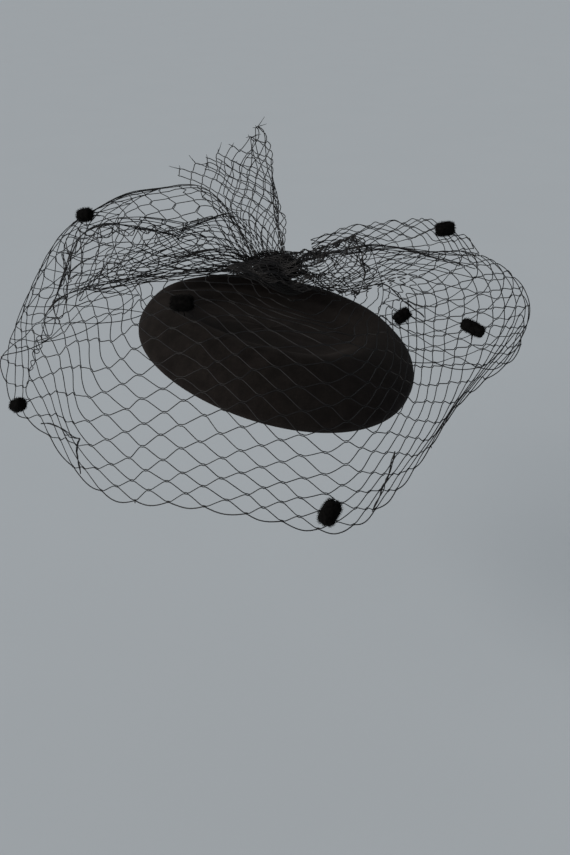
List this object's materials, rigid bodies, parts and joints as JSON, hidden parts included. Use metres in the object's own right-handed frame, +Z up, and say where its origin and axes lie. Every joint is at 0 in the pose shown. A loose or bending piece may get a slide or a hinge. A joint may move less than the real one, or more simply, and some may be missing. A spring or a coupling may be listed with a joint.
{
  "type": "felt cocktail hat with net veil",
  "caption": "Small oval felt cocktail hat with a sunken top, worn tilted, under a gathered diamond-net veil with chenille dots.",
  "frame": {"origin": "middle of the hat's rim opening, where it sits on the head", "axes": "+X to the viewer's right, +Y to the back of the wearer's head, +Z up, in the tilt that the hat is worn at"},
  "size_m": [0.3227, 0.2659, 0.1783],
  "materials": {
    "felt": "matte wool felt",
    "net": "nylon veiling strands",
    "chenille": "fuzzy chenille",
    "comb": "satin"
  },
  "bodies": {
    "root": {"hat_base": "felt", "comb": "comb", "gather_knot": "net", "veil": "net", "spray": "net", "ruffle": "net", "back_flap": "net", "dot_left_top": "chenille", "dot_left_hem": "chenille", "dot_over_hat": "chenille", "dot_front_hem": "chenille", "dot_right_inner": "chenille", "dot_right_outer": "chenille", "dot_back_flap": "chenille"}
  },
  "joints": []
}
